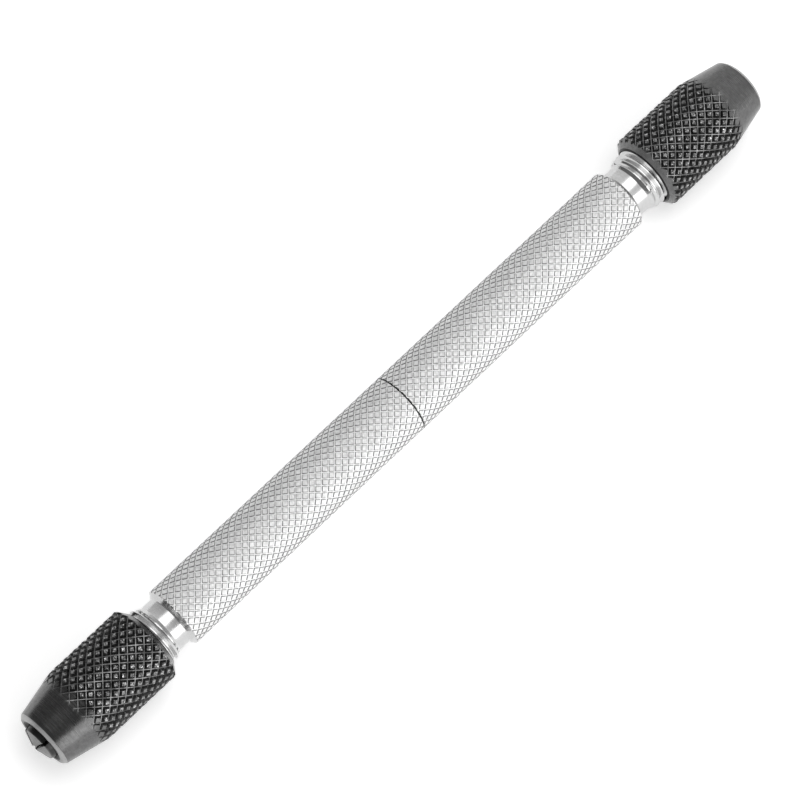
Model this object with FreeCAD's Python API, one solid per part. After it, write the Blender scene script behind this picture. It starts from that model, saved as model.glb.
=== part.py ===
"""Double-ended pin vise: a two-part knurled handle with a collet chuck at each end.

The tool lies along X. Its front end points to -X and its rear end to +X, and the
origin is the centre of its box. Each half is drawn outwards from the seam between
the handle halves, with x as the distance from the seam, and is then put in place.
All lengths are in millimetres.
"""

import FreeCAD, Part
import math
import os

Vector = FreeCAD.Vector

# Handle half
HANDLE_R = 3.5
HANDLE_LENGTH = 32.8
SEAM_CHAMFER = 0.12
SHOULDER_LENGTH = 0.45
NECK_R = 2.87
NECK_END = HANDLE_LENGTH + 1.4
THREAD_R = 3.35
THREAD_RUNOUT = 0.9
THREAD_END = 42.9
THREAD_CHAMFER = 0.4
THROUGH_BORE_R = 1.65

# Stud that joins the halves, and its tapped socket
STUD_R = 2.0
STUD_LENGTH = 14.0
STUD_CHAMFER = 0.4
SOCKET_R = STUD_R + 0.05
SOCKET_DEPTH = STUD_LENGTH / 2 + 0.4
SOCKET_CHAMFER = 0.3

# Chuck nut, and how far from the seam the nose of each one rests
FRONT_NOSE_X = 50.5
REAR_NOSE_X = 51.1
NUT_R = 4.44
NUT_LENGTH = 14.85
NUT_REAR_R = 3.5
NUT_REAR_CHAMFER = 0.75
NOSE_TAPER_LENGTH = 5.35
NOSE_HALF_ANGLE = 12.4
NOSE_EDGE = 0.33
NUT_THREAD_R = THREAD_R + 0.07
NUT_THREAD_DEPTH = NUT_LENGTH - 5.5
MOUTH_R = 2.23
MOUTH_CHAMFER_R = 2.6
MOUTH_CHAMFER_LENGTH = 0.3

# Reversible collet: jaws at both ends of a plain sleeve
COLLET_LENGTH = 13.5
JAW_LENGTH = 5.5
COLLET_R = 2.25
COLLET_TIP_R = 1.93
COLLET_TIP_CONE = 0.46
COLLET_HALF_ANGLE = 12.0
GUIDE_R = 2.4
COLLET_RELIEF_R = 1.3
GRIP_LENGTH = 3.0
SLIT_WIDTH = 0.32
ROOT_GAP = 0.03
JAWS = 4
FRONT_PROTRUSION = 0.95
REAR_PROTRUSION = 0.45
FRONT_BORES = (0.35, 0.6)
REAR_BORES = (0.8, 1.1)
FRONT_SLIT_ANGLE = -28.0
REAR_SLIT_ANGLE = 10.0

# Chamber that the collet slides in, in the nut and in the threaded end
CHAMBER_R = GUIDE_R + 0.05
SEAT_START = 37.8
SEAT_LENGTH = 1.5
SEAT_SHOULDER = 0.5

# The seam lies off the box's centre, because the two ends reach out by different amounts.
SEAM_X = (FRONT_NOSE_X + FRONT_PROTRUSION - REAR_NOSE_X - REAR_PROTRUSION) / 2


def cone_rise(length, half_angle):
    """Radius that a cone of this half angle gains over a length along its axis."""
    return length * math.tan(math.radians(half_angle))


def turned(profile):
    """Solid of revolution about X of a closed outline given as (x, radius) points."""
    points = [Vector(x, 0, r) for x, r in profile]
    face = Part.Face(Part.makePolygon(points + points[:1]))
    return face.revolve(Vector(0, 0, 0), Vector(1, 0, 0), 360)


def handle_half():
    """Knurled barrel, neck and threaded end in one turned piece, bored through."""
    seat_end = SEAT_START - SEAT_LENGTH
    seat_end_r = CHAMBER_R - cone_rise(SEAT_LENGTH, COLLET_HALF_ANGLE)
    outside = [
        (0, HANDLE_R - SEAM_CHAMFER),
        (SEAM_CHAMFER, HANDLE_R),
        (HANDLE_LENGTH - SHOULDER_LENGTH, HANDLE_R),
        (HANDLE_LENGTH, NECK_R),
        (NECK_END, NECK_R),
        (NECK_END + THREAD_RUNOUT, THREAD_R),
        (THREAD_END - THREAD_CHAMFER, THREAD_R),
        (THREAD_END, THREAD_R - THREAD_CHAMFER),
    ]
    inside = [
        (THREAD_END, CHAMBER_R),
        (SEAT_START, CHAMBER_R),
        (seat_end, seat_end_r),
        (seat_end - SEAT_SHOULDER, THROUGH_BORE_R),
        (SOCKET_DEPTH, THROUGH_BORE_R),
        (SOCKET_DEPTH, SOCKET_R),
        (SOCKET_CHAMFER, SOCKET_R),
        (0, SOCKET_R + SOCKET_CHAMFER),
    ]
    return turned(outside + inside)


def joining_stud():
    """Threaded stud, half of it in each handle half."""
    end = STUD_LENGTH / 2
    tip_r = STUD_R - STUD_CHAMFER
    profile = [
        (-end, 0),
        (-end, tip_r),
        (-end + STUD_CHAMFER, STUD_R),
        (end - STUD_CHAMFER, STUD_R),
        (end, tip_r),
        (end, 0),
    ]
    return turned(profile)


def chuck_nut():
    """Nut with its nose at x = 0 and its chamfered rear end at -x."""
    rear_x = -NUT_LENGTH
    edge_r = NUT_R - cone_rise(NOSE_TAPER_LENGTH - NOSE_EDGE, NOSE_HALF_ANGLE)
    cone_length = (CHAMBER_R - MOUTH_R) / math.tan(math.radians(COLLET_HALF_ANGLE))
    thread_end = rear_x + NUT_THREAD_DEPTH
    step = NUT_THREAD_R - CHAMBER_R
    outside = [
        (rear_x, NUT_REAR_R),
        (rear_x + NUT_REAR_CHAMFER, NUT_R),
        (-NOSE_TAPER_LENGTH, NUT_R),
        (-NOSE_EDGE, edge_r),
        (0, edge_r - NOSE_EDGE),
    ]
    inside = [
        (0, MOUTH_CHAMFER_R),
        (-MOUTH_CHAMFER_LENGTH, MOUTH_R),
        (-MOUTH_CHAMFER_LENGTH - cone_length, CHAMBER_R),
        (thread_end + step, CHAMBER_R),
        (thread_end, NUT_THREAD_R),
        (rear_x, NUT_THREAD_R),
    ]
    return turned(outside + inside)


def collet_end(bore_r):
    """Turned collet end before it is slit, with its tip at x = 0 and its root at -x."""
    taper_length = (COLLET_R - COLLET_TIP_R) / math.tan(math.radians(COLLET_HALF_ANGLE))
    root = -(JAW_LENGTH - ROOT_GAP)
    grip_end = -GRIP_LENGTH
    relief_x = grip_end - (COLLET_RELIEF_R - bore_r)
    profile = [
        (0, bore_r),
        (0, bore_r + 0.1),
        (-COLLET_TIP_CONE, COLLET_TIP_R),
        (-COLLET_TIP_CONE - taper_length, COLLET_R),
        (root, COLLET_R),
        (root, COLLET_RELIEF_R),
        (relief_x, COLLET_RELIEF_R),
        (grip_end, bore_r),
    ]
    return turned(profile)


def quadrant(angle):
    """Block over a quarter turn round X, set back from both of its slits' centre lines."""
    size = GUIDE_R + 1
    corner = Vector(-COLLET_LENGTH, SLIT_WIDTH / 2, SLIT_WIDTH / 2)
    block = Part.makeBox(2 * COLLET_LENGTH, size, size, corner)
    block.rotate(Vector(0, 0, 0), Vector(1, 0, 0), angle)
    return block


def collet_jaws(bore_r, slit_angle):
    """The jaws of one collet end, cut apart by its crossed slits, tips at x = 0."""
    end = collet_end(bore_r)
    step = 360 / JAWS
    return [end.common(quadrant(slit_angle + step * number)) for number in range(JAWS)]


def collet_sleeve():
    """Plain ring between the two sets of jaws, centred on x = 0."""
    half = COLLET_LENGTH / 2 - JAW_LENGTH
    profile = [
        (-half, COLLET_RELIEF_R),
        (-half, GUIDE_R),
        (half, GUIDE_R),
        (half, COLLET_RELIEF_R),
    ]
    return turned(profile)


def moved(shape, x):
    """Copy of a shape, shifted along X."""
    copy = shape.copy()
    copy.translate(Vector(x, 0, 0))
    return copy


def reversed_end(shape):
    """Copy of a shape, turned end for end about Z."""
    copy = shape.copy()
    copy.rotate(Vector(0, 0, 0), Vector(0, 0, 1), 180)
    return copy


def chuck_parts(nose_x, protrusion, bores, slit_angle):
    """Nut and collet pieces of one end, by name, drawn outwards from the seam."""
    tip_x = nose_x + protrusion
    parts = {"chuck_nut": moved(chuck_nut(), nose_x)}
    parts["collet_sleeve"] = moved(collet_sleeve(), tip_x - COLLET_LENGTH / 2)
    for number, jaw in enumerate(collet_jaws(bores[0], slit_angle), 1):
        parts[f"outer_jaw_{number}"] = moved(jaw, tip_x)
    for number, jaw in enumerate(collet_jaws(bores[1], slit_angle), 1):
        parts[f"inner_jaw_{number}"] = moved(reversed_end(jaw), tip_x - COLLET_LENGTH)
    return parts


def assembly():
    """Every sub-part of the tool by node name, in the tool's own frame."""
    ends = {
        "front": chuck_parts(FRONT_NOSE_X, FRONT_PROTRUSION, FRONT_BORES, FRONT_SLIT_ANGLE),
        "rear": chuck_parts(REAR_NOSE_X, REAR_PROTRUSION, REAR_BORES, REAR_SLIT_ANGLE),
    }
    nodes = {"joining_stud": moved(joining_stud(), SEAM_X)}
    for end, parts in ends.items():
        parts["handle_half"] = handle_half()
        for name, shape in parts.items():
            placed = reversed_end(shape) if end == "front" else shape
            nodes[f"{end}_{name}"] = moved(placed, SEAM_X)
    return nodes


def main():
    os.makedirs("parts", exist_ok=True)
    for name, shape in assembly().items():
        solid = shape.Solids[0]
        print(f"{name}: {solid.Volume:.3f} mm3, valid {solid.isValid()}, solids {len(shape.Solids)}")
        solid.exportStep(f"parts/{name}.step")


main()
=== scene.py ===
"""Looks of a double-ended pin vise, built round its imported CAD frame.

The tool lies along X, with its front chuck at -X and its rear chuck at +X. Each half
is built outwards from the seam of the handle, in millimetres, with x as the distance
from the seam, and is then put in place in metres.
"""

import bmesh
import bpy
import math
import numpy as np
from mathutils import Matrix, Vector


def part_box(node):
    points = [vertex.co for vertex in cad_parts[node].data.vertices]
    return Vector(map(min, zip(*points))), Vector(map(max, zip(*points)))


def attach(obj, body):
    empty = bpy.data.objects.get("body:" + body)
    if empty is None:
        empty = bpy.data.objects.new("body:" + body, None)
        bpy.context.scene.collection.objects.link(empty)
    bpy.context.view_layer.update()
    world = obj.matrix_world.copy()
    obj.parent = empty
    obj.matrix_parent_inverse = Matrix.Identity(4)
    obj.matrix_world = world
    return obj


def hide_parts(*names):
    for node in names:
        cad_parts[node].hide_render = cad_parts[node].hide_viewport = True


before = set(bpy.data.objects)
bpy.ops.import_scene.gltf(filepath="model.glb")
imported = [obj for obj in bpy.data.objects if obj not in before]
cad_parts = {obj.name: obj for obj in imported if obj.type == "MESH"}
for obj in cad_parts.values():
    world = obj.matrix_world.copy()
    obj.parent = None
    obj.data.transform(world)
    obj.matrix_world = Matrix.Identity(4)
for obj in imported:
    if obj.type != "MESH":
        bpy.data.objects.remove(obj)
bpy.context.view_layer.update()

# ---------------------------------------------------------------- dimensions
MM = 0.001
QUARTER_TURN = 90


def reach(node, end):
    """Nearest and furthest distance of a CAD node from the seam, in millimetres."""
    low, high = (c.x / MM - SEAM_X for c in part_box(node))
    return (low, high) if end == "rear" else (-high, -low)


ENDS = ("front", "rear")
SEAM_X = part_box("rear_handle_half")[0].x / MM
HANDLE_END = reach("rear_handle_half", "rear")[1]
HANDLE_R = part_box("rear_handle_half")[1].z / MM
NUT_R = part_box("rear_chuck_nut")[1].z / MM
NOSE_X = {end: reach(f"{end}_chuck_nut", end)[1] for end in ENDS}
TIP_X = {end: reach(f"{end}_outer_jaw_1", end)[1] for end in ENDS}
NUT_LENGTH = NOSE_X["rear"] - reach("rear_chuck_nut", "rear")[0]
STUD_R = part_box("joining_stud")[1].z / MM
STUD_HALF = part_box("joining_stud")[1].x / MM - SEAM_X
SEGMENTS = 128

# Barrel, neck and threaded end of a handle half
BARREL_LENGTH = 32.8
BARREL_CHAMFER = 0.06
SEAM_SLOT = 0.07
SEAM_SLOT_DEPTH = 0.9
SHOULDER_LENGTH = 0.45
KNURL_END = BARREL_LENGTH - SHOULDER_LENGTH
NECK_R = 2.87
NECK_END = BARREL_LENGTH + 1.4
THREAD_R = 3.35
THREAD_RUNOUT = 0.9
THREAD_START = BARREL_LENGTH + 0.3
THREAD_PITCH = 0.7
THREAD_DEPTH = 0.4
THREAD_CHAMFER = 0.4
COLLET_SLOPE = math.tan(math.radians(12))
CHAMBER_R = 2.45
SEAT_START = 37.8
SEAT_LENGTH = 1.5
SEAT_R = CHAMBER_R - SEAT_LENGTH * COLLET_SLOPE
SEAT_SHOULDER = 0.5
THROUGH_BORE_R = 1.65
SOCKET_R = STUD_R + 0.05
SOCKET_DEPTH = STUD_HALF + 0.4
SOCKET_CHAMFER = 0.3

# Joining stud
STUD_CHAMFER = 0.4
STUD_PITCH = 0.7
STUD_THREAD_DEPTH = 0.38

# Chuck nut
NUT_REAR_R = 3.5
NUT_REAR_CHAMFER = 0.75
# Width of the band at the nut's rear entry that is painted near black as painted shade
NUT_ENTRY_SHADE = 0.12
NOSE_TAPER = 5.35
NOSE_EDGE = 0.33
NOSE_SLOPE = math.tan(math.radians(12.4))
NOSE_EDGE_R = NUT_R - (NOSE_TAPER - NOSE_EDGE) * NOSE_SLOPE
NUT_THREAD_R = THREAD_R + 0.07
NUT_THREAD_DEPTH = NUT_LENGTH - 5.5
MOUTH_R = 2.23
MOUTH_CHAMFER_R = 2.6
MOUTH_CHAMFER = 0.3

# Collet, with the bores of its outer and inner jaws and the angle of its slits at each end
COLLET_LENGTH = 13.5
JAW_LENGTH = 5.47
COLLET_R = 2.25
COLLET_TIP_R = 1.93
COLLET_TIP_CONE = 0.46
COLLET_TIP_LAND = 0.1
COLLET_TAPER = (COLLET_R - COLLET_TIP_R) / COLLET_SLOPE
GUIDE_R = 2.4
COLLET_RELIEF_R = 1.3
GRIP_LENGTH = 3.0
SLIT_WIDTH = 0.32
ROOT_GAP = 0.03
JAW_EDGE = 0.03
JAW_STEPS = 16
BORES = {"front": (0.35, 0.6), "rear": (0.8, 1.1)}
SLIT_ANGLE = {"front": -28.0, "rear": 10.0}

# A turned blank stands this much proud of the knurled or threaded rod that it is cut by, and
# the rod reaches past the blank's ends, where low cones close it.
PROUD = 0.01
REACH = 0.5
CAP_HEIGHT = 0.1

# Knurls: starts and axial pitches of the two groove families, the places of the groove's
# edges as shares of the groove spacing, and how uneven the tops between the grooves are
HANDLE_KNURL = {"starts": (22, 25), "pitches": (0.94, 1.04), "depth": 0.11,
                "stations": (0.0, 0.06, 0.17, 0.5, 0.83, 0.94), "rough_top": 0.015}
NUT_KNURL = {"starts": (21, 24), "pitches": (1.13, 1.33), "depth": 0.32,
             "stations": (0.0, 0.05, 0.28, 0.39, 0.5, 0.61, 0.72, 0.95), "rough_top": 0.08}
KNURL_SEED = 7
HANDLE_FLOOR_R = HANDLE_R - HANDLE_KNURL["depth"]
NUT_FLOOR_R = NUT_R - NUT_KNURL["depth"]

# Thread: the places of its flats and flanks as shares of the pitch, and its steps in a turn
THREAD_STATIONS = (0.0, 0.06, 0.28, 0.44, 0.5, 0.56, 0.72, 0.94)
THREAD_STEPS = 96


# ---------------------------------------------------------------- mesh tools
def new_object(name, points, faces):
    """Mesh object from points in millimetres."""
    mesh = bpy.data.meshes.new(name)
    mesh.from_pydata((np.asarray(points) * MM).tolist(), [], faces)
    mesh.validate()
    obj = bpy.data.objects.new(name, mesh)
    bpy.context.scene.collection.objects.link(obj)
    return obj


def on_axis(x, r, turn):
    """Points at distance x along the axis, radius r and a share of a turn from +Z towards -Y."""
    angle = 2 * math.pi * np.asarray(turn)
    return np.stack([np.broadcast_to(x, angle.shape), -r * np.sin(angle), r * np.cos(angle)], axis=-1)


def rounded(outline, radius, steps=3):
    """Closed outline with each corner replaced by a small arc-like run of points.

    A corner takes at most 0.4 of a side, so that the corners of a short side stay apart.
    """
    smooth = []
    count = len(outline)
    for n, corner in enumerate(outline):
        corner = np.array(corner, float)
        if corner[1] == 0:
            smooth.append(corner)
            continue
        before = np.array(outline[n - 1], float) - corner
        after = np.array(outline[(n + 1) % count], float) - corner
        cut = min(radius, 0.4 * np.linalg.norm(before), 0.4 * np.linalg.norm(after))
        start = corner + before / np.linalg.norm(before) * cut
        end = corner + after / np.linalg.norm(after) * cut
        for t in np.linspace(0, 1, steps + 1):
            smooth.append((1 - t) ** 2 * start + 2 * t * (1 - t) * corner + t * t * end)
    return np.array(smooth)


def divided(outline, longest):
    """Closed outline with its long sides cut into equal pieces."""
    points = []
    for n, start in enumerate(outline):
        end = outline[(n + 1) % len(outline)]
        pieces = max(1, math.ceil(np.linalg.norm(end - start) / longest))
        points += [start + (end - start) * m / pieces for m in range(pieces)]
    return points


def turned(name, outline, radius=0.05, longest=2.0):
    """Closed solid of revolution of an outline given as (x, r) points."""
    ring = divided(rounded(outline, radius), longest)
    turns = np.arange(SEGMENTS) / SEGMENTS
    points = np.concatenate([on_axis(x, r, turns) for x, r in ring])
    faces = []
    for a in range(len(ring)):
        b = (a + 1) % len(ring)
        for n in range(SEGMENTS):
            m = (n + 1) % SEGMENTS
            faces.append((a * SEGMENTS + n, b * SEGMENTS + n, b * SEGMENTS + m, a * SEGMENTS + m))
    return outwards(merged(new_object(name, points, faces)))


def merged(obj):
    """Joins the points of a mesh that meet on the axis."""
    mesh = bmesh.new()
    mesh.from_mesh(obj.data)
    bmesh.ops.remove_doubles(mesh, verts=mesh.verts, dist=1e-8)
    mesh.to_mesh(obj.data)
    mesh.free()
    return obj


def outwards(obj):
    """Turns a closed mesh's faces outwards."""
    mesh = obj.data
    points = np.zeros(len(mesh.vertices) * 3)
    mesh.vertices.foreach_get("co", points)
    points = points.reshape(-1, 3)
    mesh.calc_loop_triangles()
    corners = np.array([t.vertices[:] for t in mesh.loop_triangles])
    a, b, c = points[corners[:, 0]], points[corners[:, 1]], points[corners[:, 2]]
    if np.einsum("ij,ij->i", a, np.cross(b, c)).sum() < 0:
        mesh.flip_normals()
    return obj


def combined(obj, other, operation):
    """obj after a boolean with other, which is used up."""
    boolean = obj.modifiers.new("cut", "BOOLEAN")
    boolean.operation = operation
    boolean.solver = "MANIFOLD"
    boolean.object = other
    depsgraph = bpy.context.evaluated_depsgraph_get()
    mesh = bpy.data.meshes.new_from_object(obj.evaluated_get(depsgraph))
    obj.modifiers.clear()
    old = obj.data
    obj.data = mesh
    bpy.data.meshes.remove(old)
    bpy.data.objects.remove(other)
    return obj


def helical_cells(x0, x1, u_of, v_of):
    """Cells of the grid of two helical counters that cover a rod from x0 to x1."""
    (ux, ut), (vx, vt) = u_of, v_of
    cells = []
    for b in range(abs(vt)):
        corners = [ux * x + ut * (b + e - vx * x) / vt for x in (x0, x1) for e in (0, 1)]
        cells += [(a, b) for a in range(math.floor(min(corners)) - 1, math.ceil(max(corners)) + 1)]
    return np.array(cells)


def helical_triangles(index, stations):
    """Two triangles for each square of the cells, whose points are numbered by index.

    Each square is split along the diagonal that points to the middle of its cell, as the
    edges of a knurl's diamonds do.
    """
    su, sv = (np.array(places) for places in stations)
    ku, kv = len(su), len(sv)
    a, b, c, d = (index[:, m:ku + m, n:kv + n].reshape(-1) for m, n in ((0, 0), (1, 0), (1, 1), (0, 1)))
    rising = ((su < 0.5)[:, None] == (sv < 0.5)[None, :]).reshape(-1)
    rising = np.tile(rising, len(index))[:, None]
    first = np.where(rising, np.stack([a, b, c], 1), np.stack([a, b, d], 1))
    second = np.where(rising, np.stack([a, c, d], 1), np.stack([b, c, d], 1))
    return np.concatenate([first, second])


def capped(points, faces, middle):
    """Points and faces of a rod with both ends closed by triangles to a point on the axis."""
    x = points[:, 0]
    edges = np.concatenate([faces[:, [0, 1]], faces[:, [1, 2]], faces[:, [2, 0]]])
    _, where, seen = np.unique(np.sort(edges, 1), axis=0, return_index=True, return_counts=True)
    rim = edges[where[seen == 1]]
    tip = np.where(x[rim[:, 0]] < middle, len(points), len(points) + 1)
    tips = [[x.min() - CAP_HEIGHT, 0, 0], [x.max() + CAP_HEIGHT, 0, 0]]
    caps = np.stack([rim[:, 1], rim[:, 0], tip], 1)
    return np.concatenate([points, tips]), np.concatenate([faces, caps])


def helical_places(cells, per_turn, counts):
    """Distinct places (i, j) of the cells' grid points, and the numbers of each cell's points.

    The grid meets itself after a turn, which adds per_turn units to u and v. counts are the
    places within one unit of u and of v.
    """
    (ut, vt), (ku, kv) = per_turn, counts
    i = (cells[:, 0, None, None] * ku + np.arange(ku + 1)[None, :, None]).repeat(kv + 1, 2)
    j = (cells[:, 1, None, None] * kv + np.arange(kv + 1)[None, None, :]).repeat(ku + 1, 1)
    wraps = j // (kv * abs(vt))
    j = j - wraps * kv * abs(vt)
    i = i - wraps * ku * ut * (1 if vt > 0 else -1)
    places, index = np.unique(np.stack([i.ravel(), j.ravel()], 1), axis=0, return_inverse=True)
    return places, index.reshape(i.shape)


def helical_rod(name, x0, x1, u_of, v_of, stations, radius_at):
    """Closed rod whose side is a grid along two helical families.

    The families' counters are u = ux * x + ut * turn and v = vx * x + vt * turn, and u_of and
    v_of are their (per millimetre, per turn) rates. stations are the grid's places within
    one unit of u and of v, and radius_at gives the radii from u and v within their cells.
    """
    (ux, ut), (vx, vt) = u_of, v_of
    su, sv = stations
    cells = helical_cells(x0, x1, u_of, v_of)
    places, index = helical_places(cells, (ut, vt), (len(su), len(sv)))
    i, j = places.T
    fu, fv = np.array(su)[i % len(su)], np.array(sv)[j % len(sv)]
    u, v = i // len(su) + fu, j // len(sv) + fv
    x = (u * vt - v * ut) / (ux * vt - vx * ut)
    points = on_axis(x, radius_at(fu, fv), (v - vx * x) / vt)
    points, faces = capped(points, helical_triangles(index, stations), (x0 + x1) / 2)
    return outwards(new_object(name, points, faces.tolist()))


def knurled_rod(name, x0, x1, radius, knurl):
    """Rod with crossed helical grooves, the pattern that two knurling rolls leave."""
    (first, second), (pitch_1, pitch_2) = knurl["starts"], knurl["pitches"]
    stations, depth = knurl["stations"], knurl["depth"]
    floor, edge = stations[1], stations[2]
    chance = np.random.default_rng(KNURL_SEED)

    def groove(f):
        near = np.minimum(f, 1 - f)
        return depth * np.clip((edge - near) / (edge - floor), 0, 1)

    def radius_at(fu, fv):
        cut = np.maximum(groove(fu), groove(fv))
        top = cut == 0
        return radius - cut - knurl["rough_top"] * top * chance.random(len(fu))

    return helical_rod(name, x0, x1, (1 / pitch_1, first), (1 / pitch_2, -second),
                       (stations, stations), radius_at)


def threaded_rod(name, x0, x1, crest_r, depth, pitch):
    """Rod with a right-handed thread that has narrow flats on its crest and root."""
    crest_edge, root_edge = THREAD_STATIONS[1], THREAD_STATIONS[3]

    def radius_at(fu, fv):
        near = np.minimum(fu, 1 - fu)
        return crest_r - depth * np.clip((near - crest_edge) / (root_edge - crest_edge), 0, 1)

    stations = (THREAD_STATIONS, (0.0,))
    return helical_rod(name, x0, x1, (1 / pitch, -1), (0, THREAD_STEPS), stations, radius_at)


def finished(obj, body, nodes, smooth_angle=25):
    """Shades a piece and says what it stands for."""
    mesh = obj.data
    mesh.shade_smooth()
    mesh.set_sharp_from_angle(angle=math.radians(smooth_angle))
    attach(obj, body)
    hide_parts(*nodes)
    return obj


def placed(obj, end):
    """Puts a piece that was built outwards from the seam at its end of the tool."""
    turn = Matrix.Rotation(math.pi, 4, "Z") if end == "front" else Matrix.Identity(4)
    obj.data.transform(Matrix.Translation((SEAM_X * MM, 0, 0)) @ turn)
    return obj


# ---------------------------------------------------------------- pieces
def face_places(obj):
    """Distance from the seam and radius of the middle of each face, in millimetres."""
    middles = np.array([face.center[:] for face in obj.data.polygons]) / MM
    return middles[:, 0], np.hypot(middles[:, 1], middles[:, 2])


def painted(obj, materials, choice):
    """Gives each face the material that its entry in choice numbers."""
    obj.data.materials.clear()
    for material in materials:
        obj.data.materials.append(material)
    obj.data.polygons.foreach_set("material_index", np.asarray(choice, dtype=np.int32))
    return obj


def handle_outline():
    """Section of a handle half as (x, r) points, without its knurl and thread."""
    outside = [
        (0, HANDLE_R - SEAM_SLOT_DEPTH),
        (SEAM_SLOT, HANDLE_R - SEAM_SLOT_DEPTH + SEAM_SLOT),
        (SEAM_SLOT, HANDLE_R - BARREL_CHAMFER),
        (SEAM_SLOT + BARREL_CHAMFER, HANDLE_R + PROUD),
        (KNURL_END, HANDLE_R + PROUD),
        (BARREL_LENGTH, NECK_R),
        (NECK_END, NECK_R),
        (NECK_END + THREAD_RUNOUT, THREAD_R + PROUD),
        (HANDLE_END - THREAD_CHAMFER, THREAD_R + PROUD),
        (HANDLE_END, THREAD_R - THREAD_CHAMFER),
    ]
    inside = [
        (HANDLE_END, CHAMBER_R),
        (SEAT_START, CHAMBER_R),
        (SEAT_START - SEAT_LENGTH, SEAT_R),
        (SEAT_START - SEAT_LENGTH - SEAT_SHOULDER, THROUGH_BORE_R),
        (SOCKET_DEPTH, THROUGH_BORE_R),
        (SOCKET_DEPTH, SOCKET_R),
        (SOCKET_CHAMFER, SOCKET_R),
        (0, SOCKET_R + SOCKET_CHAMFER),
    ]
    return outside + inside


def handle_half(end):
    """Knurled barrel with a turned neck and threaded end, bored through."""
    half = turned(f"{end}_handle_turned", handle_outline())
    knurl = knurled_rod("knurl", -REACH, BARREL_LENGTH + REACH, HANDLE_R, HANDLE_KNURL)
    thread_end = HANDLE_END + 2 * REACH
    thread = threaded_rod("thread", THREAD_START, thread_end, THREAD_R, THREAD_DEPTH, THREAD_PITCH)
    half = combined(half, combined(knurl, thread, "UNION"), "INTERSECT")
    x, r = face_places(half)
    is_knurl = (x < KNURL_END) & (x > SEAM_SLOT) & (r > HANDLE_FLOOR_R - 2 * PROUD)
    painted(half, [TURNED_ALUMINIUM, KNURLED_ALUMINIUM_AND_LIGHT], is_knurl)
    return finished(placed(half, end), f"{end}_handle", [f"{end}_handle_half"])


def nut_outlines(rear, taper_start, nose):
    """Outside and inside of a chuck nut's section as (x, r) points, without its knurl."""
    cone_length = (CHAMBER_R - MOUTH_R) / COLLET_SLOPE
    thread_end = rear + NUT_THREAD_DEPTH
    outside = [
        (rear, NUT_REAR_R),
        (rear + NUT_ENTRY_SHADE, NUT_REAR_R + (NUT_R - NUT_REAR_R) * NUT_ENTRY_SHADE / NUT_REAR_CHAMFER),
        (rear + NUT_REAR_CHAMFER, NUT_R + PROUD),
        (taper_start, NUT_R + PROUD),
        (nose - NOSE_EDGE, NOSE_EDGE_R),
        (nose, NOSE_EDGE_R - NOSE_EDGE),
    ]
    inside = [
        (nose, MOUTH_CHAMFER_R),
        (nose - MOUTH_CHAMFER, MOUTH_R),
        (nose - MOUTH_CHAMFER - cone_length, CHAMBER_R),
        (thread_end + NUT_THREAD_R - CHAMBER_R, CHAMBER_R),
        (thread_end, NUT_THREAD_R),
        (rear, NUT_THREAD_R),
    ]
    return outside, inside


def chuck_nut(end):
    """Knurled nut with a tapered nose."""
    nose = NOSE_X[end]
    rear = nose - NUT_LENGTH
    taper_start = nose - NOSE_TAPER
    outside, inside = nut_outlines(rear, taper_start, nose)
    nut = turned(f"{end}_nut_knurled", outside + inside, radius=0.03, longest=0.5)
    knurl = knurled_rod("knurl", rear - REACH, nose + REACH, NUT_R, NUT_KNURL)
    nut = combined(nut, knurl, "INTERSECT")
    x, r = face_places(nut)
    beyond_knurl = (x < rear + NUT_REAR_CHAMFER) | (x > taper_start)
    is_smooth = beyond_knurl & (r > np.interp(x, *zip(*outside)) - 1.5 * PROUD)
    is_knurl = (r > NUT_FLOOR_R - 2 * PROUD) & ~is_smooth
    is_rim = (x > nose - NOSE_EDGE) & (r > MOUTH_CHAMFER_R)
    # The bore, the mouth and a thin band at the rear entry are painted near black: painted shade where the
    # nut's inside and entry lie in shadow.
    is_shaded_bore = (r < np.interp(x, *zip(*inside[::-1])) + 4 * PROUD) | (x < rear + NUT_ENTRY_SHADE)
    choice = np.select([is_rim, is_shaded_bore, is_knurl], [2, 3, 1], 0)
    painted(nut, [TURNED_BLACK, KNURLED_BLACK_AND_SHADE, BARE_STEEL, BORE_SHADE_BLACK], choice)
    placed(nut, end)
    return finished(nut, f"{end}_nut", [f"{end}_chuck_nut"], smooth_angle=16)


def joining_stud():
    """Threaded stud between the handle halves."""
    tip_r = STUD_R - STUD_CHAMFER
    outline = [
        (-STUD_HALF, 0),
        (-STUD_HALF, tip_r),
        (-STUD_HALF + STUD_CHAMFER, STUD_R + PROUD),
        (STUD_HALF - STUD_CHAMFER, STUD_R + PROUD),
        (STUD_HALF, tip_r),
        (STUD_HALF, 0),
    ]
    stud = turned("stud_threaded", outline)
    rod_end = STUD_HALF + 2 * REACH
    thread = threaded_rod("thread", -rod_end, rod_end, STUD_R, STUD_THREAD_DEPTH, STUD_PITCH)
    stud = combined(stud, thread, "INTERSECT")
    painted(stud, [STUD_STEEL_AND_SHADE], np.zeros(len(stud.data.polygons)))
    return finished(placed(stud, "rear"), "stud", ["joining_stud"])


def collet_sleeve(end):
    """Plain ring between the two sets of jaws."""
    middle = TIP_X[end] - COLLET_LENGTH / 2
    half = COLLET_LENGTH / 2 - JAW_LENGTH - ROOT_GAP
    outline = [
        (middle - half, COLLET_RELIEF_R),
        (middle - half, GUIDE_R),
        (middle + half, GUIDE_R),
        (middle + half, COLLET_RELIEF_R),
    ]
    sleeve = turned(f"{end}_sleeve_turned", outline)
    sleeve.data.materials.append(COLLET_STEEL_AND_SHADE)
    return finished(placed(sleeve, end), f"{end}_collet", [f"{end}_collet_sleeve"])


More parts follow.
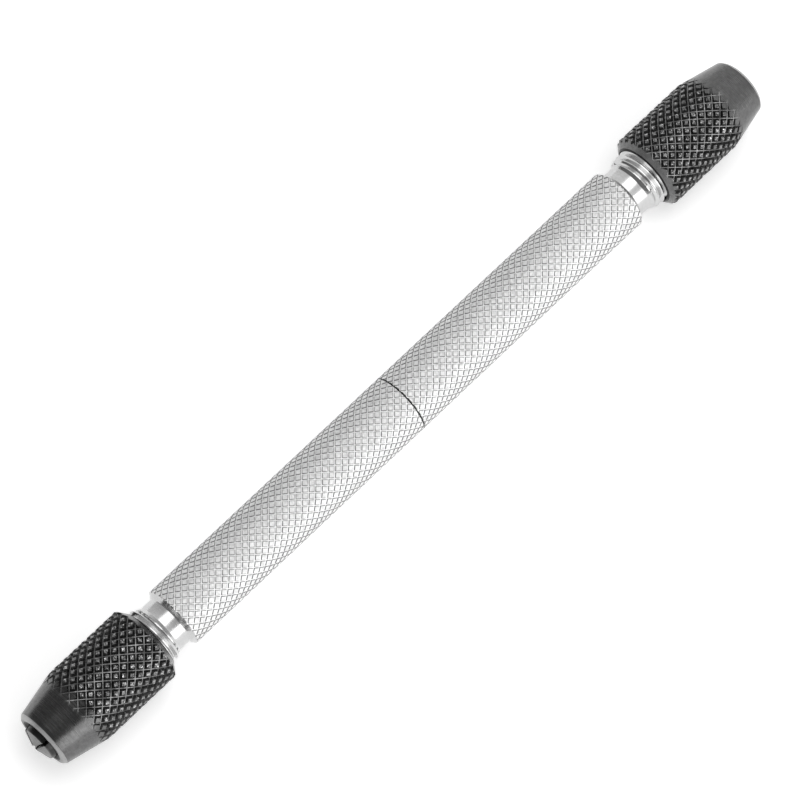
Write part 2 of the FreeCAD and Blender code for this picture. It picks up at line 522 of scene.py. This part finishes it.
def jaw_outline(bore_r):
    """Section of one jaw as (x, r) points, with its tip at x = 0 and its root at -x."""
    taper_end = -COLLET_TIP_CONE - COLLET_TAPER
    outline = [
        (0, bore_r),
        (0, bore_r + COLLET_TIP_LAND),
        (-COLLET_TIP_CONE, COLLET_TIP_R),
        (taper_end, COLLET_R),
        (-JAW_LENGTH, COLLET_R),
        (-JAW_LENGTH, COLLET_RELIEF_R),
        (-GRIP_LENGTH - COLLET_RELIEF_R + bore_r, COLLET_RELIEF_R),
        (-GRIP_LENGTH, bore_r),
    ]
    return divided(rounded(outline, radius=0.04), longest=0.6)


def inset(outline, distance):
    """Closed outline moved inwards by a distance."""
    points = np.array(outline)
    along = np.roll(points, -1, 0) - np.roll(points, 1, 0)
    along /= np.linalg.norm(along, axis=1)[:, None]
    normal = np.stack([along[:, 1], -along[:, 0]], 1)
    x, r = points.T
    area = (x * np.roll(r, -1) - r * np.roll(x, -1)).sum() / 2
    return points - normal * distance * np.sign(area)


def jaw(end, kind, number):
    """One jaw of a collet: a quarter of its turned end, set back from its slits."""
    bore_r = BORES[end][0 if kind == "outer" else 1]
    full = np.array(jaw_outline(bore_r))
    small = inset(full, JAW_EDGE)
    # The angle of the slits is measured from +Y, a quarter of a turn before +Z.
    first = SLIT_ANGLE[end] - QUARTER_TURN + QUARTER_TURN * (number - 1)
    sections = [(small, SLIT_WIDTH / 2, 0)]
    sections += [(full, SLIT_WIDTH / 2 + JAW_EDGE, n / JAW_STEPS) for n in range(JAW_STEPS + 1)]
    sections += [(small, SLIT_WIDTH / 2, 1)]
    points = []
    for section, gap, share in sections:
        x, r = section.T
        corner = np.degrees(np.arcsin(gap / r))
        angle = first + corner + (QUARTER_TURN - 2 * corner) * share
        points.append(on_axis(x, r, angle / 360))
    count = len(full)
    last = len(sections) - 1
    faces = [tuple(range(count)), tuple(range(last * count, (last + 1) * count))[::-1]]
    for a in range(last):
        for n in range(count):
            m = (n + 1) % count
            faces.append((a * count + n, (a + 1) * count + n, (a + 1) * count + m, a * count + m))
    obj = new_object(f"{end}_{kind}_jaw_{number}_ground", np.concatenate(points), faces)
    obj.data.transform(jaw_place(end, kind))
    obj.data.materials.append(COLLET_STEEL_AND_SHADE)
    node = f"{end}_{kind}_jaw_{number}"
    return finished(placed(outwards(obj), end), node, [node])


def jaw_place(end, kind):
    """Where a jaw drawn with its tip at x = 0 goes, measured outwards from the seam."""
    if kind == "outer":
        return Matrix.Translation((TIP_X[end] * MM, 0, 0))
    inner_tip = (TIP_X[end] - COLLET_LENGTH) * MM
    return Matrix.Translation((inner_tip, 0, 0)) @ Matrix.Rotation(math.pi, 4, "Z")


# ---------------------------------------------------------------- materials
PATCHES_PER_METRE = 2600


def add(tree, kind, inputs, **settings):
    """Adds a node with its settings, and links or sets its inputs."""
    node = tree.nodes.new(kind)
    for name, value in settings.items():
        setattr(node, name, value)
    for name, value in inputs.items():
        if isinstance(value, bpy.types.NodeSocket):
            tree.links.new(value, node.inputs[name])
        else:
            node.inputs[name].default_value = value
    return node


def scaled(tree, low, high, value):
    """Output that runs from low to high as a value runs from 0.3 to 0.7, the range of noise."""
    inputs = {"Value": value, "From Min": 0.3, "From Max": 0.7, "To Min": low, "To Max": high}
    return add(tree, "ShaderNodeMapRange", inputs).outputs[0]


def ramp(tree, value, stops):
    """Grey that follows a value through (value, grey) stops."""
    low, high = stops[0][0], stops[-1][0]
    share = add(tree, "ShaderNodeMapRange", {"Value": value, "From Min": low, "From Max": high})
    node = add(tree, "ShaderNodeValToRGB", {"Fac": share.outputs[0]})
    elements = node.color_ramp.elements
    for place, grey in stops:
        if place in (low, high):
            element = elements[0 if place == low else -1]
        else:
            element = elements.new((place - low) / (high - low))
        element.color = (grey, grey, grey, 1)
    return node.outputs[0]


def metal(name, tones, roughness, patch, marks):
    """Metal whose tone follows its radius, with patches, uneven gloss and fine marks.

    tones are (radius in mm, grey) pairs, roughness and patch are (low, high) ranges, and
    marks are the marks' (frequency along X, frequency around, height), per mm and in mm.
    """
    material = bpy.data.materials.new(name)
    material.use_nodes = True
    tree = material.node_tree
    shader = tree.nodes["Principled BSDF"]
    place = add(tree, "ShaderNodeTexCoord", {}).outputs["Object"]
    across = add(tree, "ShaderNodeVectorMath", {0: place, 1: (0, 1 / MM, 1 / MM)}, operation="MULTIPLY")
    radius = add(tree, "ShaderNodeVectorMath", {0: across.outputs[0]}, operation="LENGTH").outputs["Value"]
    patches = add(tree, "ShaderNodeTexNoise", {"Vector": place, "Scale": PATCHES_PER_METRE, "Detail": 3})
    tone = scaled(tree, *patch, patches.outputs[0])
    grey = ramp(tree, radius, tones)
    colour = add(tree, "ShaderNodeVectorMath", {0: grey, "Scale": tone}, operation="SCALE")
    along, around, height = marks
    stretch = (along / MM, around / MM, around / MM)
    stretched = add(tree, "ShaderNodeVectorMath", {0: place, 1: stretch}, operation="MULTIPLY").outputs[0]
    lines = add(tree, "ShaderNodeTexNoise", {"Vector": stretched, "Scale": 1, "Detail": 2}).outputs[0]
    bump = add(tree, "ShaderNodeBump", {"Height": lines, "Distance": height * MM, "Strength": 1.0})
    tree.links.new(colour.outputs[0], shader.inputs["Base Color"])
    tree.links.new(scaled(tree, *roughness, lines), shader.inputs["Roughness"])
    tree.links.new(bump.outputs[0], shader.inputs["Normal"])
    shader.inputs["Metallic"].default_value = 1
    return material


# Knurled aluminium tops, with painted shade on the groove flanks and a painted highlight along the groove
# floors
KNURLED_ALUMINIUM_AND_LIGHT = metal(
    "knurled_aluminium_with_painted_light",
    [(HANDLE_FLOOR_R, 1.0), (HANDLE_FLOOR_R + 0.03, 0.32), (HANDLE_R - 0.04, 0.32),
     (HANDLE_R - 0.015, 0.84), (HANDLE_R, 0.92)],
    roughness=(0.60, 0.80), patch=(0.85, 1.06), marks=(4, 4, 0.016))
TURNED_ALUMINIUM = metal(
    "turned_aluminium", [(NECK_R - 0.2, 0.56), (THREAD_R, 0.58)],
    roughness=(0.14, 0.26), patch=(0.95, 1.03), marks=(6, 0.2, 0.004))
# Black oxide knurl with painted shade on the groove flanks, darker than the groove floors; the tops grow
# lighter the higher they stand
KNURLED_BLACK_AND_SHADE = metal(
    "knurled_black_oxide_with_painted_shade",
    [(NUT_FLOOR_R, 0.14), (NUT_FLOOR_R + 0.05, 0.06), (NUT_R - 0.09, 0.06),
     (NUT_R - 0.06, 0.14), (NUT_R - 0.02, 0.24), (NUT_R, 0.80)],
    roughness=(0.20, 0.38), patch=(0.5, 1.7), marks=(5, 5, 0.014))
TURNED_BLACK = metal(
    "turned_black_oxide", [(NUT_R - 2.2, 0.13), (NUT_R, 0.14)],
    roughness=(0.20, 0.32), patch=(0.85, 1.15), marks=(8, 0.4, 0.006))
# Near black painted shade for the inside of a chuck nut and the edge of its entry, which lie in shadow
BORE_SHADE_BLACK = metal(
    "painted_shade_black_oxide", [(MOUTH_R, 0.02), (NUT_R, 0.03)],
    roughness=(0.30, 0.45), patch=(0.85, 1.15), marks=(8, 0.4, 0.006))
BARE_STEEL = metal(
    "bare_steel",
    [(MOUTH_CHAMFER_R, 0.12), (MOUTH_CHAMFER_R + 0.4, 0.26), (NUT_R - 1.38, 0.34)],
    roughness=(0.25, 0.4), patch=(0.9, 1.05), marks=(8, 0.4, 0.005))
# Collet steel on the front cones; the sides beyond the cone's edge are painted near black as painted
# shade, where they sit in the shadow of the nut's mouth
COLLET_STEEL_AND_SHADE = metal(
    "collet_steel", [(0.3, 0.15), (COLLET_TIP_R - 0.02, 0.18), (COLLET_TIP_R + 0.03, 0.05)],
    roughness=(0.22, 0.36), patch=(0.9, 1.1), marks=(7, 0.4, 0.006))
# Steel of the stud, with painted shade in the roots of its thread
STUD_STEEL_AND_SHADE = metal(
    "stud_steel", [(STUD_R - 0.4, 0.38), (STUD_R, 0.55)],
    roughness=(0.2, 0.34), patch=(0.9, 1.05), marks=(6, 0.3, 0.004))


# ---------------------------------------------------------------- light and camera
AZIMUTH = -45.44
ELEVATION = 67.72
DISTANCE = 0.4186
LENS = 184.2
SHIFT = (-0.0001, 0.0054)
FLOOR_HALF_SIZE = 3000
FLOOR_GLOW = 0.44

# Grey of the room by the X part of the direction
ROOM = ((-1.0, 1.0), (-0.85, 0.30), (-0.3, 0.12), (-0.05, 0.23),
        (0.12, 0.58), (0.38, 0.95), (0.70, 0.85), (1.0, 0.20))


def camera():
    """Camera with a long lens that looks down on the tool from its front left."""
    data = bpy.data.cameras.new("camera")
    data.lens = LENS
    data.sensor_width = 36
    data.shift_x, data.shift_y = SHIFT
    data.clip_start = 0.01
    data.clip_end = 10
    obj = bpy.data.objects.new("camera", data)
    bpy.context.scene.collection.objects.link(obj)
    a, e = math.radians(AZIMUTH), math.radians(ELEVATION)
    back = Vector((math.sin(a) * math.cos(e), -math.cos(a) * math.cos(e), math.sin(e)))
    obj.location = Vector((SEAM_X * MM, 0, 0)) + back * DISTANCE
    obj.rotation_mode = "QUATERNION"
    obj.rotation_quaternion = (-back).to_track_quat("-Z", "Y")
    bpy.context.scene.camera = obj


def softbox(name, angle, tilt_x, distance, size, radiance):
    """Area light at an angle about X from +Z towards -Y, tilted towards +X.

    size is the light's length along its tilt and its width about X.
    """
    data = bpy.data.lights.new(name, "AREA")
    data.shape = "RECTANGLE"
    data.size, data.size_y = size
    data.energy = radiance * size[0] * size[1] * math.pi
    obj = bpy.data.objects.new(name, data)
    bpy.context.scene.collection.objects.link(obj)
    a, t = math.radians(angle), math.radians(tilt_x)
    across = Vector((0, -math.sin(a), math.cos(a)))
    towards = across * math.cos(t) + Vector((math.sin(t), 0, 0))
    along = Vector((math.cos(t), 0, 0)) - across * math.sin(t)
    obj.location = towards * distance
    obj.rotation_mode = "QUATERNION"
    obj.rotation_quaternion = Matrix((along, towards.cross(along), towards)).transposed().to_quaternion()


def floor():
    """White light table that the tool lies on."""
    z = -NUT_R
    half = FLOOR_HALF_SIZE
    points = [(-half, -half, z), (half, -half, z), (half, half, z), (-half, half, z)]
    obj = new_object("floor", points, [(0, 1, 2, 3)])
    material = bpy.data.materials.new("white_floor")
    material.use_nodes = True
    shader = material.node_tree.nodes["Principled BSDF"]
    shader.inputs["Base Color"].default_value = (0.92, 0.92, 0.92, 1)
    shader.inputs["Roughness"].default_value = 0.9
    shader.inputs["Emission Color"].default_value = (1, 1, 1, 1)
    shader.inputs["Emission Strength"].default_value = FLOOR_GLOW
    obj.data.materials.append(material)


def room():
    """Plain grey surroundings that vary along X."""
    world = bpy.data.worlds.new("room")
    world.use_nodes = True
    tree = world.node_tree
    direction = add(tree, "ShaderNodeTexCoord", {}).outputs["Generated"]
    split = add(tree, "ShaderNodeSeparateXYZ", {"Vector": direction})
    grey = ramp(tree, split.outputs["X"], ROOM)
    tree.links.new(grey, tree.nodes["Background"].inputs["Color"])
    bpy.context.scene.world = world
    bpy.context.scene.view_settings.view_transform = "Standard"


# ---------------------------------------------------------------- the whole
joining_stud()
for end in ENDS:
    handle_half(end)
    chuck_nut(end)
    collet_sleeve(end)
    for number in range(1, 5):
        jaw(end, "outer", number)
        jaw(end, "inner", number)
camera()
floor()
room()
softbox("overhead", angle=1, tilt_x=15, distance=1.2, size=(0.95, 0.82), radiance=1.6)
softbox("side", angle=77, tilt_x=8, distance=1.2, size=(1.4, 1.05), radiance=2.0)
